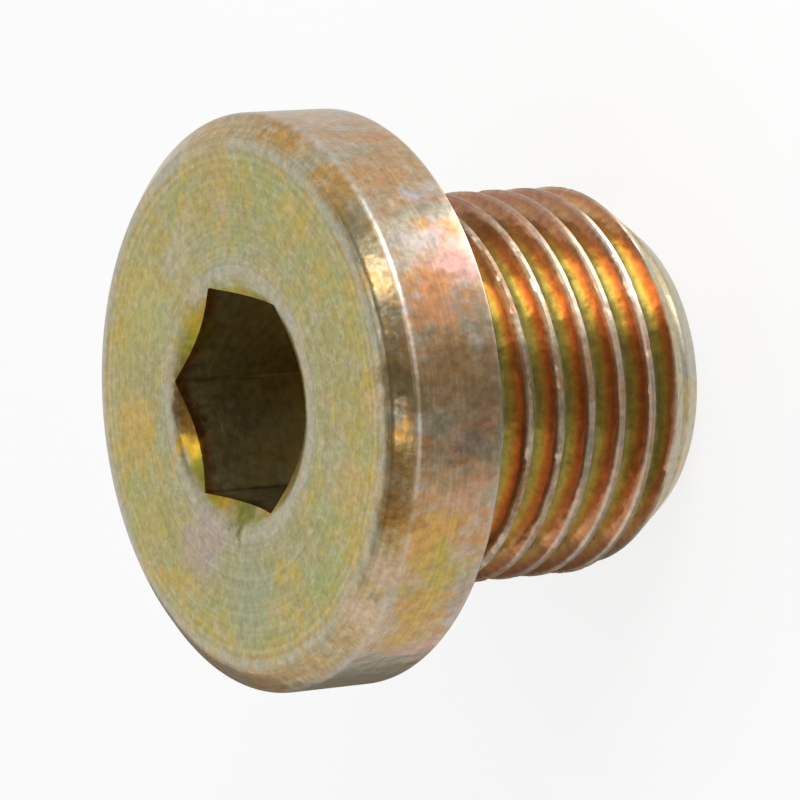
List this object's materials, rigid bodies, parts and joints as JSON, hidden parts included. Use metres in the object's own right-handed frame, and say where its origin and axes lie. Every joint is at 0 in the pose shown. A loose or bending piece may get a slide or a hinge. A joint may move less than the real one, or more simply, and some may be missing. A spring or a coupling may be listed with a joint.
{
  "type": "hex socket plug",
  "caption": "Hex socket screw plug with a round collar and a short right-hand parallel pipe thread, turned from steel with a golden chromate finish.",
  "frame": {"origin": "centre of the tip's flat end face, on which the plug stands", "axes": "+Z along the plug's axis, from the tip to the socket; two corners of the hexagon lie on the Y axis"},
  "size_m": [0.014, 0.014, 0.0109],
  "materials": {
    "yellow_chromate_steel": "turned steel, zinc plated and yellow iridescent chromate"
  },
  "bodies": {
    "root": {"plug_body": "yellow_chromate_steel"}
  },
  "joints": []
}
